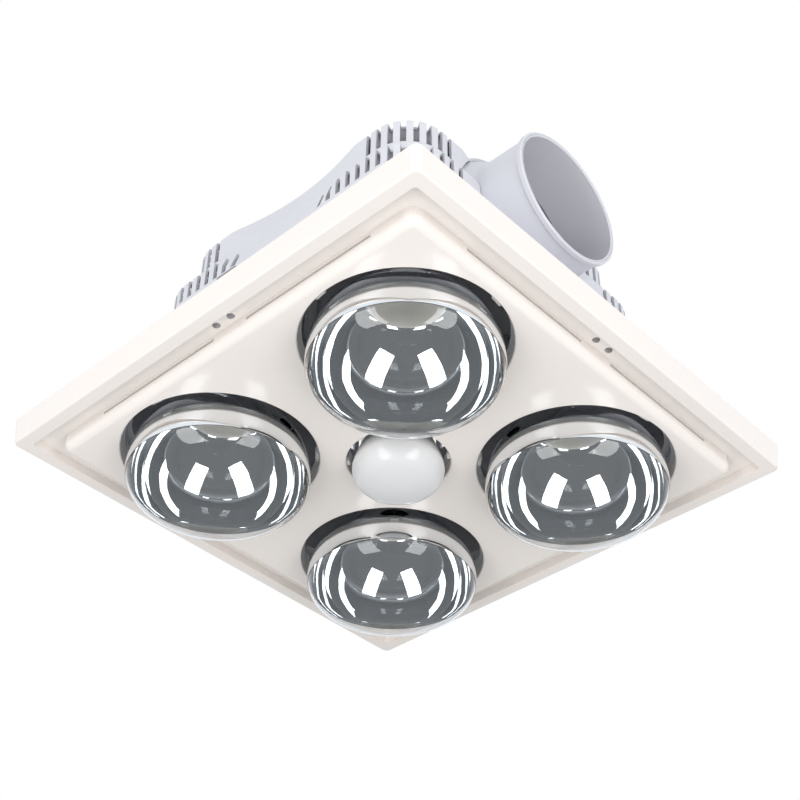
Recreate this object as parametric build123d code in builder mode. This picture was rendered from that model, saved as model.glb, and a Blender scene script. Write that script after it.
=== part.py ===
from build123d import *
import os
from math import asin, atan2, cos, degrees, radians, sin, sqrt

# Bathroom ceiling heat lamp. Millimetres. +Z is up into the ceiling, z = 0 is the ceiling surface,
# the lamps point down along -Z and the duct leaves along +X.
os.makedirs("parts", exist_ok=True)

# Fascia: a square frame, a groove with air slots, and a raised panel with five round openings.
ceiling_half = 186.7
frame_draft = 1.7
inner_draft = 0.9
frame_depth = 19.4
frame_face = 9.7
groove_width = 13.3
frame_corner = 5.0
ridge_round = 1.6
groove_z = -12.4
groove_corner = 3.0
panel_z = -24.2
panel_corner = 8.0
panel_round = 6.0
skin = 2.4
lamp_pitch = 85.3
lamp_hole_r = 67.2
spot_hole_r = 35.3
collar_top = -15.8
collar_wall = 1.8
hole_round = 1.2
slit_bottom = -16.9
slit_height = 2.4
slit_ranges = ((-116.0, -7.5), (22.4, 127.7))
spot_notch_angles = (-96, 35, -143)
screw_pair_x = 7.4
screw_pair_half = 6.5
screw_inset = 1.2
screw_boss_r = 3.2
pillar_inset = 14.0
pillar_r = 3.6
ridge_half = ceiling_half - frame_draft
groove_half = ridge_half - frame_face
panel_half = groove_half - groove_width
pillar_reach = panel_half - pillar_inset

# Housing: a stepped, vented box above the ceiling, with a turret over the motor and a duct boss.
wall = 2.2
flange_inset = 5.3
flange_t = 2.5
flange_corner = 12.0
base_half = 143.0
base_corner = 42.0
base_top = 55.0
shoulder_top = 80.0
tier1_half = 127.0
tier1_corner = 34.0
tier1_top = 115.0
tier2_half = 115.3
tier2_corner = 33.0
roof_z = 155.0
scoop_r = 250.0
scoop_rise = 4.0
scoop_depth = 9.3
slot_width = 4.3
slot_pitch = 9.1
slot_depth = 7.0
ceiling_slot_long = 14.0
ceiling_slot_wide = 5.2
ceiling_slot_x = 155.0
ceiling_slot_y = 110.0
flange_half = groove_half - flange_inset
scoop_low = (tier1_half, shoulder_top + scoop_rise)
scoop_high = (tier2_half - scoop_depth, roof_z)

# Fan: a volute on the centre line with a squirrel-cage wheel, driven from above.
fan_x = -12.0
fan_y = 14.0
volute_r0 = 60.7
volute_grow = 2.9
volute_from = 25.0
volute_low = 84.0
volute_high = 141.0
volute_wall = 2.0
outlet_x = 100.0
inlet_r = 38.0
wheel_r = 50.0
wheel_in_r = 41.0
wheel_low = 89.0
wheel_high = 135.0
hub_r = 7.5
hub_low = wheel_high - 13.0
hub_high = wheel_high + 2.0
cone_reach = 8.5
cone_rise = 5.0
cone_t = 3.2
blade_count = 32
blade_t = 1.1
shaft_r = 3.0
screw_y = 19.5
turret_r = 62.0
turret_top = 173.2

# Duct spigot, axis along +X.
duct_y = -9.4
duct_z = 112.4
duct_in_r = 47.5
duct_out_r = 49.2
duct_rim_r = 50.9
duct_rim_x = 163.0
boss_r = 60.0
boss_end = 112.0
neck_end = 126.0
leaf_x = 119.0
leaf_r = 46.6
leaf_t = 1.2
leaf_pin_r = 1.5

# Lamps and holders.
bulb_r = 62.0
bulb_apex = -66.0
bulb_wide_z = -41.1
cap_r = 13.2
cap_low = 88.0
cap_high = 112.0
cap_tip = 117.0
holder_low = 89.0
holder_high = 122.0
holder_r = 20.0
shell_in_r = 13.28
shell_t = 0.6
spot_r = 31.4
spot_apex = -46.4
spot_wide_z = -30.0
spot_cap_low = 30.0
spot_cap_high = 54.0
spot_tip = 58.0
spot_holder_low = 31.0
spot_holder_high = 63.0
spot_holder_r = 19.0

# Clearances between pieces, and the pilot and passing holes of the self-tapping screws.
gap = 0.3
fit = 0.05
thin_shank = 1.25
thick_shank = 1.5
bite = 0.05
pass_gap = 0.25

corners = {"near": (1, -1), "left": (-1, -1), "right": (1, 1), "far": (-1, 1)}
lamp_spots = [(sx * lamp_pitch, sy * lamp_pitch) for sx, sy in corners.values()]
sides = [Location((0, 0, 0), (0, 0, 90 * turn)) for turn in range(4)]
screw_y_line = (panel_half + groove_half) / 2 - screw_inset
fascia_screw_spots = [side * Location((screw_pair_x + dx, -screw_y_line, 0))
                      for side in sides for dx in (-screw_pair_half, screw_pair_half)]


def save(part, label):
    part.label = label
    export_step(part, "parts/" + label + ".step")


# The fascia moulding, hollow at the back.
with BuildPart() as fascia:
    with BuildSketch():
        RectangleRounded(2 * ceiling_half, 2 * ceiling_half, frame_corner)
    with BuildSketch(Plane.XY.offset(-frame_depth)):
        RectangleRounded(2 * ridge_half, 2 * ridge_half, frame_corner)
    loft()
    fillet(fascia.faces().sort_by(Axis.Z)[0].outer_wire().edges(), ridge_round)
    with BuildSketch(Plane.XY.offset(-frame_depth)):
        RectangleRounded(2 * groove_half, 2 * groove_half, groove_corner)
    extrude(amount=frame_depth + groove_z, mode=Mode.SUBTRACT)
    with BuildSketch(Plane.XY.offset(groove_z)):
        RectangleRounded(2 * panel_half, 2 * panel_half, panel_corner)
    extrude(amount=panel_z - groove_z)
    fillet(fascia.faces().sort_by(Axis.Z)[0].outer_wire().edges(), panel_round)
    # open back, frame channel and panel hollow
    with BuildSketch():
        RectangleRounded(2 * (ceiling_half - skin), 2 * (ceiling_half - skin), frame_corner - 1)
    with BuildSketch(Plane.XY.offset(groove_z + skin)):
        inner_half = ceiling_half - skin - inner_draft
        RectangleRounded(2 * inner_half, 2 * inner_half, frame_corner - 1)
    loft(mode=Mode.SUBTRACT)
    with BuildSketch(Plane.XY.offset(groove_z + skin)):
        RectangleRounded(2 * (ridge_half - skin), 2 * (ridge_half - skin), frame_corner - 1)
        RectangleRounded(2 * (groove_half + skin), 2 * (groove_half + skin), groove_corner,
                         mode=Mode.SUBTRACT)
    extrude(amount=-(frame_depth + groove_z), mode=Mode.SUBTRACT)
    with BuildSketch(Plane.XY.offset(panel_z + skin)):
        RectangleRounded(2 * (panel_half - skin), 2 * (panel_half - skin), panel_corner - skin)
    extrude(amount=-panel_z, mode=Mode.SUBTRACT)
    # openings with an upstand collar round each
    with BuildSketch(Plane.XY.offset(panel_z + skin)):
        with Locations(*lamp_spots):
            Circle(lamp_hole_r + collar_wall)
        Circle(spot_hole_r + collar_wall)
    extrude(amount=collar_top - panel_z - skin)
    with BuildSketch(Plane.XY.offset(panel_z)):
        with Locations(*lamp_spots):
            Circle(lamp_hole_r)
        Circle(spot_hole_r)
    extrude(amount=collar_top - panel_z, mode=Mode.SUBTRACT)
    rims = fascia.edges().filter_by(GeomType.CIRCLE).filter_by(
        lambda e: abs(e.center().Z - panel_z) < 0.01 and e.radius > spot_hole_r - 1)
    fillet(rims, hole_round)
    # air slots in the side wall of the panel, and screw holes in the middle of each groove
    for side in sides:
        for low, high in slit_ranges:
            with Locations(side * Location(((low + high) / 2, -panel_half, slit_bottom + slit_height / 2))):
                Box(high - low, 4 * skin, slit_height, mode=Mode.SUBTRACT)
    boss_long = -flange_t - gap - groove_z
    boss_spots = [spot * Location((0, 0, groove_z + boss_long / 2)) for spot in fascia_screw_spots]
    with Locations(*boss_spots):
        Cylinder(screw_boss_r, boss_long)
    with Locations(*boss_spots):
        Cylinder(thin_shank + bite + 2 * pass_gap, boss_long + 1, mode=Mode.SUBTRACT)
    with Locations(*[spot * Location((0, 0, groove_z)) for spot in fascia_screw_spots]):
        Cylinder(2.5, 2.2, mode=Mode.SUBTRACT)
    # three retaining notches in the centre opening
    for angle in spot_notch_angles:
        turned = Location((0, 0, panel_z + 3.5), (0, 0, angle))
        with Locations(turned * Location((spot_hole_r - 0.3, 0, 0))):
            Box(3.4, 4.6, 3.0)
    # pillars that carry the reflector tray
    with BuildSketch(Plane.XY.offset(panel_z + skin)):
        with PolarLocations(pillar_reach, 4):
            Circle(pillar_r)
    extrude(amount=collar_top - panel_z - skin)
    with BuildSketch(Plane.XY.offset(panel_z + skin + 1)):
        with PolarLocations(pillar_reach, 4):
            Circle(thick_shank - bite)
    extrude(amount=collar_top - panel_z, mode=Mode.SUBTRACT)
save(fascia.part, "fascia")

# The polished reflector tray that lies on the collars, with a rolled lip at each opening.
tray_t = 0.8
tray_half = panel_half - 5.5
tray_hole_r = 65.0
tray_spot_r = 33.8
lip_high = 6.0
with BuildPart() as tray:
    with BuildSketch(Plane.XY.offset(collar_top)):
        RectangleRounded(2 * tray_half, 2 * tray_half, 10)
    extrude(amount=tray_t)
    with BuildSketch(Plane.XY.offset(collar_top)):
        with Locations(*lamp_spots):
            Circle(tray_hole_r + tray_t)
        Circle(tray_spot_r + tray_t)
    extrude(amount=lip_high)
    with BuildSketch(Plane.XY.offset(collar_top)):
        with Locations(*lamp_spots):
            Circle(tray_hole_r)
        Circle(tray_spot_r)
        with PolarLocations(pillar_reach, 4):
            Circle(thick_shank + pass_gap)
    extrude(amount=lip_high, mode=Mode.SUBTRACT)
    # pressed air holes between the lamps
    with BuildSketch(Plane.XY.offset(collar_top)):
        with PolarLocations(112, 4):
            with GridLocations(0, 12, 1, 3):
                SlotOverall(26, 5)
    extrude(amount=tray_t, mode=Mode.SUBTRACT)
save(tray.part, "reflector_tray")


# The housing form, drawn once and used for the outside, the cavity and the fits round it.
def housing_form(inset):
    drop = 0 if inset <= 0 else 1
    tilt = degrees(atan2(scoop_low[0] - scoop_high[0], scoop_high[1] - scoop_low[1]))
    away = cos(radians(tilt))
    rise = sin(radians(tilt))
    with BuildPart() as form:
        with BuildSketch(Plane.XY.offset(-6 * drop)):
            RectangleRounded(2 * (base_half - inset), 2 * (base_half - inset), base_corner - inset)
        extrude(amount=base_top + 6 * drop)
        with BuildSketch(Plane.XY.offset(base_top)):
            RectangleRounded(2 * (base_half - inset), 2 * (base_half - inset), base_corner - inset)
        with BuildSketch(Plane.XY.offset(shoulder_top)):
            RectangleRounded(2 * (tier1_half - inset), 2 * (tier1_half - inset), tier1_corner - inset)
        loft()
        with BuildSketch(Plane.XY.offset(shoulder_top)):
            RectangleRounded(2 * (tier1_half - inset), 2 * (tier1_half - inset), tier1_corner - inset)
        extrude(amount=tier1_top - inset - shoulder_top)
        if drop == 0:
            fillet(form.faces().sort_by(Axis.Z)[-1].outer_wire().edges(), 3.5)
        with BuildSketch(Plane.XY.offset(shoulder_top)):
            RectangleRounded(2 * (tier2_half - inset), 2 * (tier2_half - inset), tier2_corner - inset)
        extrude(amount=roof_z - inset - shoulder_top)
        if drop == 0:
            fillet(form.faces().sort_by(Axis.Z)[-1].outer_wire().edges(), 3.5)
        with PolarLocations(0, 4):
            with Locations((scoop_low[0] + scoop_r * away, 0, scoop_low[1] + scoop_r * rise)):
                Cylinder(scoop_r + inset, 420, rotation=(0, -tilt, 0), mode=Mode.SUBTRACT)
        with BuildSketch(Plane.YZ):
            with Locations((duct_y, duct_z)):
                Circle(boss_r - inset)
        extrude(amount=boss_end + 6 * drop)
        with BuildSketch(Plane.XY.offset(shoulder_top)):
            with Locations((fan_x, fan_y)):
                Circle(turret_r - inset)
        extrude(amount=turret_top - inset - shoulder_top)
    return form.part


outer_form = housing_form(0)
cavity_form = housing_form(wall)

# Three radial screws hold the skirt of the spigot in the boss.
spigot_screw_spots = [Location((107.6, duct_y, duct_z), (angle, 0, 0)) * Location((0, 0, boss_r - 1.5))
                      for angle in (-30, 0, 30)]

# The duct spigot: a skirt inside the boss, a tapered neck, a plain tube and a rolled rim.
spigot_plane = Plane(origin=(0, duct_y, duct_z), x_dir=(1, 0, 0), z_dir=(0, -1, 0))
skirt_x = 105.0
skirt_r = boss_r - wall - gap
with BuildPart() as spigot:
    with BuildSketch(spigot_plane):
        with BuildLine():
            Polyline((skirt_x, skirt_r - 2.2), (skirt_x, skirt_r), (boss_end, skirt_r),
                     (neck_end - 3, duct_out_r + 1.2))
            Spline((neck_end - 3, duct_out_r + 1.2), (neck_end + 5, duct_out_r),
                   tangents=((1, -0.45), (1, 0)))
            Polyline((neck_end + 5, duct_out_r), (duct_rim_x - 5.2, duct_out_r),
                     (duct_rim_x - 3.4, duct_rim_r), (duct_rim_x - 0.8, duct_rim_r),
                     (duct_rim_x, duct_rim_r - 0.8), (duct_rim_x, duct_rim_r - 1.6),
                     (duct_rim_x - 0.7, duct_rim_r - 2.0), (duct_rim_x, duct_rim_r - 2.4),
                     (duct_rim_x - 0.6, duct_in_r), (neck_end - 4, duct_in_r),
                     (boss_end - 1, skirt_r - 2.2), (skirt_x, skirt_r - 2.2))
        make_face()
    revolve(axis=Axis((0, duct_y, duct_z), (1, 0, 0)))
    # two bosses with the pin bores of the shutter
    for sign in (-1, 1):
        with Locations((leaf_x, duct_y, duct_z + sign * (duct_in_r - 0.2))):
            Cylinder(3.4, 7.0)
    with Locations((leaf_x, duct_y, duct_z)):
        Cylinder(leaf_pin_r + fit, 2 * (duct_in_r + 0.4), mode=Mode.SUBTRACT)
    with Locations(*spigot_screw_spots):
        Cylinder(thin_shank + bite, 12, mode=Mode.SUBTRACT)
save(spigot.part, "duct_spigot")

with BuildPart() as spigot_clear:
    with BuildSketch(spigot_plane):
        with BuildLine():
            Polyline((boss_end, 0), (boss_end, skirt_r + gap), (neck_end - 3, duct_out_r + 1.6),
                     (neck_end + 5, duct_out_r + gap), (duct_rim_x, duct_out_r + gap),
                     (duct_rim_x, 0), (boss_end, 0))
        make_face()
    revolve(axis=Axis((0, duct_y, duct_z), (1, 0, 0)))

# The housing shell.
terminal_x = -77.0
terminal_y = 84.5
terminal_long = 54.0
terminal_wide = 34.0
terminal_wall = 1.8
cable_y = 77.0
cable_r = 5.0
holder_stud = 23.0
post_r = 3.4
volute_feet = ((-66.0, 62.0), (-72.0, -32.0), (34.0, 63.0), (45.0, -65.0))
cable_hole = (-70.0, 76.0)
cover_posts = ((-98.8, 96.3), (-55.2, 72.7))
cover_shank = 1.35
strap_t = 1.4
cover_t = 2.0
with BuildPart() as housing:
    add(outer_form)
    with BuildSketch(Plane.XY.offset(-flange_t)):
        RectangleRounded(2 * flange_half, 2 * flange_half, flange_corner)
    extrude(amount=flange_t)
    add(cavity_form, mode=Mode.SUBTRACT)
    add(spigot_clear.part, mode=Mode.SUBTRACT)
    # slotted holes for the ceiling screws, and pilot holes for the fascia screws
    with BuildSketch(Plane.XY.offset(-flange_t)):
        with GridLocations(2 * ceiling_slot_x, 2 * ceiling_slot_y, 2, 2):
            SlotOverall(ceiling_slot_long, ceiling_slot_wide)
    extrude(amount=flange_t, mode=Mode.SUBTRACT)
    with Locations(*fascia_screw_spots):
        Cylinder(thin_shank + bite, 3 * flange_t, mode=Mode.SUBTRACT)
    # vents: a fan of slots round every corner and a row along the sides
    for half, corner, low, high, per_corner, flats in (
            (tier1_half, tier1_corner, 97.0, tier1_top + 1, 6, 6),
            (tier2_half, tier2_corner, 132.0, roof_z + 1, 6, 1)):
        step = degrees(slot_pitch / corner)
        middle = (low + high) / 2
        used = radians(45 - step * (per_corner - 1) / 2) * corner
        spots = []
        for turn, side in enumerate(sides):
            for k in range(per_corner):
                angle = 45 + step * (k - (per_corner - 1) / 2)
                spots.append(side * Location((half - corner, half - corner, middle), (0, 0, angle))
                             * Location((corner - slot_depth / 2 + 2, 0, 0)))
            for k in range(flats):
                x = half - corner - (slot_pitch - used) - slot_pitch * k
                # the duct side keeps only the two slots nearest each corner
                if turn != 3 or k < 2:
                    spots += [side * Location((sign * x, half - slot_depth / 2 + 2, middle), (0, 0, 90))
                              for sign in (-1, 1)]
        with Locations(*spots):
            Box(slot_depth + 4, slot_width, high - low, mode=Mode.SUBTRACT)
    # clip windows low on two sides
    with Locations((-48, -tier1_half, 91), (48, tier1_half, 91)):
        Box(20, 12, 10, mode=Mode.SUBTRACT)
    with Locations((tier1_half, 59, 92), (-tier1_half, -59, 92)):
        Box(12, 16, 10, mode=Mode.SUBTRACT)
    # posts under the roof for the lamp holders and the fan
    inside = roof_z - wall
    post_low = holder_high + strap_t
    posts = [Location((x, y, (post_low + inside) / 2), (0, 0, degrees(atan2(y, x)) + 90))
             * Location((sign * holder_stud, 0, 0)) for x, y in lamp_spots for sign in (-1, 1)]
    with Locations(*posts):
        Cylinder(post_r, inside - post_low)
    with Locations(*posts):
        Cylinder(thick_shank + bite, inside - post_low, mode=Mode.SUBTRACT)
    foot_low = volute_high + cover_t
    feet = [(x, y, (foot_low + inside) / 2) for x, y in volute_feet]
    with Locations(*feet):
        Cylinder(4.0, inside - foot_low)
    with Locations(*feet):
        Cylinder(thick_shank + bite, inside - foot_low, mode=Mode.SUBTRACT)
    # grommet hole for the internal leads, pilots for the terminal cover, holes for the spigot screws
    with Locations((cable_hole[0], cable_hole[1], roof_z)):
        Cylinder(5.0, 12, mode=Mode.SUBTRACT)
    with Locations(*[(x, y, roof_z) for x, y in cover_posts]):
        Cylinder(cover_shank + bite, 12, mode=Mode.SUBTRACT)
    with Locations(*spigot_screw_spots):
        Cylinder(thin_shank + pass_gap, 12, mode=Mode.SUBTRACT)
save(housing.part, "housing")

# The two leaves of the draught shutter, hinged on one upright pin in the duct.
knuckle_r = 3.0
knuckle_spans = {"a": ((-41.0, -21.5), (0.5, 20.5)), "b": ((-20.5, -0.5), (21.5, 41.0))}
with BuildPart() as shutter_pin:
    with Locations((leaf_x, duct_y, duct_z)):
        Cylinder(leaf_pin_r, 2 * (duct_in_r + 0.2))
save(shutter_pin.part, "shutter_pin")
for name, sign in (("a", 1), ("b", -1)):
    other = "b" if name == "a" else "a"
    leaf_plane = Plane(origin=(leaf_x - leaf_t / 2, duct_y, duct_z), x_dir=(0, 1, 0), z_dir=(1, 0, 0))
    with BuildPart() as leaf:
        with BuildSketch(leaf_plane):
            Circle(leaf_r)
            with Locations((-sign * leaf_r, 0)):
                Rectangle(2 * leaf_r, 2 * leaf_r, mode=Mode.SUBTRACT)
            for low, high in knuckle_spans[other]:
                with Locations((0, (low + high) / 2)):
                    Rectangle(2 * (knuckle_r + 0.7), high - low + 1.0, mode=Mode.SUBTRACT)
            for end in (-1, 1):
                with Locations((0, end * leaf_r)):
                    Rectangle(9.0, 9.0, mode=Mode.SUBTRACT)
        extrude(amount=leaf_t)
        # stiffening ribs on the room side, and the knuckles
        for level in (-24, 0, 24):
            reach = sqrt(leaf_r ** 2 - level ** 2) - 5
            with Locations((leaf_x - leaf_t, duct_y + sign * (4.5 + reach) / 2, duct_z + level)):
                Box(leaf_t, reach - 4.5, 1.6)
        for low, high in knuckle_spans[name]:
            with Locations((leaf_x, duct_y, duct_z + (low + high) / 2)):
                Cylinder(knuckle_r, high - low)
        with Locations((leaf_x, duct_y, duct_z)):
            Cylinder(leaf_pin_r + fit, 2 * leaf_r, mode=Mode.SUBTRACT)
    save(leaf.part, "shutter_leaf_" + name)

# The volute seen from above: four growing arcs, each tangent to the last, that open into the outlet.
volute_joints = (volute_from, 85, 147, 208, 270)
volute_arcs = [(fan_x, fan_y, volute_r0)]
for joint in volute_joints[1:-1]:
    x, y, radius = volute_arcs[-1]
    volute_arcs.append((x - volute_grow * cos(radians(joint)), y - volute_grow * sin(radians(joint)),
                        radius + volute_grow))
outlet_high = fan_y + volute_r0 * sin(radians(volute_from))
outlet_low = volute_arcs[-1][1] - volute_arcs[-1][2]


def volute_outline(out, end):
    first = degrees(asin((outlet_high + out - fan_y) / (volute_r0 + out)))
    turns = (first,) + volute_joints[1:]
    with BuildSketch() as outline:
        with BuildLine():
            arcs = [CenterArc((x, y), radius + out, turns[k], turns[k + 1] - turns[k])
                    for k, (x, y, radius) in enumerate(volute_arcs)]
            Polyline(arcs[-1] @ 1, (end, outlet_low - out), (end, outlet_high + out), arcs[0] @ 0)
        make_face()
    return outline.sketch


volute_air = volute_outline(0, outlet_x + 4)
volute_outer = volute_outline(volute_wall, outlet_x)
bridge_from = -42.0
bridge_to = 58.0
bridge_foot = 12.0
bridge_screw_ys = (bridge_from - bridge_foot / 2, bridge_to + bridge_foot / 2)
outlet_plane = Plane(origin=(outlet_x, duct_y, duct_z), x_dir=(0, 1, 0), z_dir=(1, 0, 0))
outlet_mid = (outlet_low + outlet_high) / 2
bell_r = inlet_r - 1.6
disc_r = boss_r - wall - 3.8
disc_t = 2.0
with BuildPart() as volute:
    with BuildSketch(Plane.XY.offset(volute_low)):
        add(volute_outer)
    extrude(amount=volute_high - volute_low)
    with BuildSketch(Plane.XY.offset(volute_low + volute_wall)):
        add(volute_air)
    extrude(amount=volute_high - volute_low, mode=Mode.SUBTRACT)
    with BuildSketch(outlet_plane):
        Circle(disc_r)
    extrude(amount=disc_t)
    with Locations((outlet_x, outlet_mid, (volute_low + volute_high + volute_wall) / 2)):
        Box(3 * disc_t, outlet_high - outlet_low - 10, volute_high - volute_low - 3 * volute_wall,
            mode=Mode.SUBTRACT)
    # inlet with a rounded bellmouth
    with BuildSketch(Plane(origin=(fan_x, fan_y, 0), x_dir=(1, 0, 0), z_dir=(0, -1, 0))):
        with BuildLine():
            Polyline((inlet_r, volute_low + 5), (bell_r, volute_low + 5), (bell_r, volute_low + 1))
            ThreePointArc((bell_r, volute_low + 1), (inlet_r, volute_low - 2.6),
                          (inlet_r + 5, volute_low - 3.4))
            Polyline((inlet_r + 5, volute_low - 3.4), (inlet_r + 5, volute_low + 1),
                     (inlet_r, volute_low + 1), (inlet_r, volute_low + 5))
        make_face()
    revolve(axis=Axis((fan_x, fan_y, 0), (0, 0, 1)))
    with Locations((fan_x, fan_y, volute_low)):
        Cylinder(bell_r, 12, mode=Mode.SUBTRACT)
    # outside ribs
    for arc, angle in ((1, 95), (1, 120), (2, 160), (2, 190), (3, 232), (3, 255)):
        x, y, radius = volute_arcs[arc]
        with Locations(Location((x, y, (volute_low + volute_high) / 2), (0, 0, angle))
                       * Location((radius + volute_wall + 0.6, 0, 0))):
            Box(3.0, 1.6, volute_high - volute_low)
    # pilots for the screws of the centre bracket
    with Locations(*[(0, y, volute_low) for y in bridge_screw_ys]):
        Cylinder(thin_shank + bite, 6, mode=Mode.SUBTRACT)
save(volute.part, "fan_volute")

# The flat cover of the volute, with ears under the roof posts and pads for the motor screws.
motor_shank = 1.5
motor_screw_spots = [(fan_x, fan_y + sign * screw_y) for sign in (-1, 1)]
with BuildPart() as cover:
    with BuildSketch(Plane.XY.offset(volute_high)):
        add(volute_outer)
        with Locations(*volute_feet):
            Circle(6.0)
        with Locations((fan_x, fan_y)):
            Circle(11.0, mode=Mode.SUBTRACT)
        with Locations(*volute_feet):
            Circle(thick_shank + pass_gap, mode=Mode.SUBTRACT)
    extrude(amount=cover_t)
    with Locations(*[(x, y, volute_high - 1.2) for x, y in motor_screw_spots]):
        Cylinder(4.0, 2.4)
    with Locations(*[(x, y, volute_high) for x, y in motor_screw_spots]):
        Cylinder(motor_shank + bite, 8, mode=Mode.SUBTRACT)
    for x, y in volute_feet:
        angle = degrees(atan2(fan_y - y, fan_x - x))
        with Locations(Location((x, y, volute_high + cover_t / 2), (0, 0, angle)) * Location((9, 0, 0))):
            Box(8, 9, cover_t)
save(cover.part, "volute_cover")

# The squirrel-cage wheel: forward-curved blades between a coned back plate and a front ring.
rim_r = wheel_r + 0.3
ring_r = wheel_r - 4.5
with BuildPart() as wheel:
    with BuildSketch(Plane(origin=(fan_x, fan_y, wheel_low + 0.5), x_dir=(1, 0, 0), z_dir=(0, 0, 1))):
        with PolarLocations(0, blade_count):
            with BuildLine():
                ThreePointArc((wheel_in_r, 0), (wheel_in_r + 5.4, 1.6), (wheel_r - 0.6, 6.2))
            trace(line_width=blade_t)
    extrude(amount=wheel_high - wheel_low - 1.5)
    with BuildSketch(Plane(origin=(fan_x, fan_y, 0), x_dir=(1, 0, 0), z_dir=(0, -1, 0))):
        with BuildLine():
            Polyline((shaft_r + 0.02, hub_low), (hub_r, hub_low), (hub_r, hub_low + cone_rise),
                     (hub_r + cone_reach, hub_low + cone_rise + 1.4), (rim_r, wheel_high - 1.6),
                     (rim_r, wheel_high), (hub_r + cone_reach - 1, hub_low + cone_rise + cone_t),
                     (hub_r, hub_low + cone_rise + cone_t), (hub_r, hub_high),
                     (shaft_r + 0.02, hub_high), (shaft_r + 0.02, hub_low))
        make_face()
        with BuildLine():
            Polyline((ring_r, wheel_low), (rim_r, wheel_low), (rim_r, wheel_low + 4),
                     (wheel_r - 1.2, wheel_low + 4), (wheel_r - 1.2, wheel_low + 1.4),
                     (ring_r, wheel_low + 1.4), (ring_r, wheel_low))
        make_face()
    revolve(axis=Axis((fan_x, fan_y, 0), (0, 0, 1)))
save(wheel.part, "fan_wheel")

# The shaded-pole motor that stands on the cover.
stack_low = 149.3
stack_high = 163.3
motor_low = volute_high + cover_t
bracket_top = 168.9
stator_x = fan_x + 13.0
coil_x = fan_x + 41.0
rotor_r = 12.4
with BuildPart() as stator:
    with BuildSketch(Plane.XY.offset(stack_low)):
        with Locations((stator_x, fan_y)):
            RectangleRounded(66, 48, 3)
        with Locations((stator_x + 15, fan_y)):
            Rectangle(16, 30, mode=Mode.SUBTRACT)
        with Locations((fan_x, fan_y)):
            Circle(rotor_r + 0.4, mode=Mode.SUBTRACT)
        with Locations(*motor_screw_spots):
            Circle(motor_shank + 2 * fit, mode=Mode.SUBTRACT)
        # slots of the shading rings
        with Locations((fan_x - 9.6, fan_y + 10.6), (fan_x + 9.6, fan_y - 10.6)):
            Rectangle(2.4, 5.0, rotation=45, mode=Mode.SUBTRACT)
    extrude(amount=stack_high - stack_low)
save(stator.part, "motor_stator")
coil_half = 12.5
coil_z = (stack_low + stack_high) / 2
with BuildPart() as coil:
    with Locations((coil_x, fan_y, coil_z)):
        Box(22, 22, 2 * coil_half - 1.6)
        for sign in (-1, 1):
            with Locations((0, sign * 12.4, 0)):
                Box(24.5, 1.6, 2 * coil_half)
        fillet(coil.edges().filter_by(Axis.Y).filter_by(lambda e: abs(e.center().Y - fan_y) < 1), 4)
        Box(10.6, 40, stack_high - stack_low + 0.6, mode=Mode.SUBTRACT)
save(coil.part, "motor_coil")
with BuildPart() as rotor:
    with Locations((fan_x, fan_y, coil_z)):
        Cylinder(rotor_r, stack_high - stack_low - 1.0)
    with BuildSketch(Plane.XY.offset(hub_low + 0.5)):
        with Locations((fan_x, fan_y)):
            Circle(shaft_r)
    extrude(amount=bracket_top - hub_low - 0.9)
save(rotor.part, "motor_rotor")
for name, low, high, hollow in (("lower", motor_low, stack_low, stack_low),
                                ("upper", stack_high, bracket_top, stack_high)):
    with BuildPart() as bracket:
        middle = (low + high) / 2
        with BuildSketch(Plane.XY.offset(low)):
            with Locations((fan_x, fan_y)):
                SlotOverall(50, 12, rotation=90)
        extrude(amount=high - low)
        with Locations((fan_x, fan_y, hollow)):
            Box(20, 28, 4.4, mode=Mode.SUBTRACT)
        with Locations((fan_x, fan_y, middle)):
            Cylinder(8.6, high - low - 0.8)
            Cylinder(shaft_r + fit, 3 * (high - low), mode=Mode.SUBTRACT)
        with Locations(*[(x, y, middle) for x, y in motor_screw_spots]):
            Cylinder(motor_shank + 2 * fit, 3 * (high - low), mode=Mode.SUBTRACT)
    save(bracket.part, "motor_bracket_" + name)
motor_screw_low = volute_high - 1.4
with BuildPart() as motor_screws:
    with Locations(*motor_screw_spots):
        with Locations((0, 0, (motor_screw_low + bracket_top) / 2)):
            Cylinder(motor_shank, bracket_top - motor_screw_low)
        with Locations((0, 0, bracket_top + 0.5)):
            Cylinder(2.8, 1.0)
save(motor_screws.part, "motor_screws")


# A blown reflector bulb in tangent arcs: dome, corner, bowl, neck. shrink gives its inside.
def heat_bulb(shrink):
    edge = bulb_r - shrink
    with BuildPart() as bulb:
        with BuildSketch(Plane.XZ):
            with BuildLine():
                ThreePointArc((0, bulb_apex + shrink), (25.2, bulb_apex + 2.0 + shrink),
                              (49.5 - 0.3 * shrink, bulb_apex + 7.76 + shrink))
                ThreePointArc((49.5 - 0.3 * shrink, bulb_apex + 7.76 + shrink),
                              (58.5 - 0.8 * shrink, -51.7 + 0.6 * shrink), (edge, bulb_wide_z))
                ThreePointArc((edge, bulb_wide_z), (edge - 0.27, bulb_wide_z + 3.1),
                              (edge - 1.1, bulb_wide_z + 6.2))
                ThreePointArc((edge - 1.1, bulb_wide_z + 6.2), (edge - 13.83, -7.86), (edge - 31, 16.6))
                Line((edge - 31, 16.6), (edge - 33.4, 18.6))
                ThreePointArc((edge - 33.4, 18.6), (edge - 40.4, 45.5), (edge - 45, 76))
                Polyline((edge - 45, 76), (edge - 45.2, 82), (edge - 49.5, 86.5 - 2 * shrink),
                         (edge - 49.5, 91 - 5 * shrink), (0, 91 - 5 * shrink), (0, bulb_apex + shrink))
            make_face()
        revolve(axis=Axis.Z)
    return bulb.part


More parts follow.
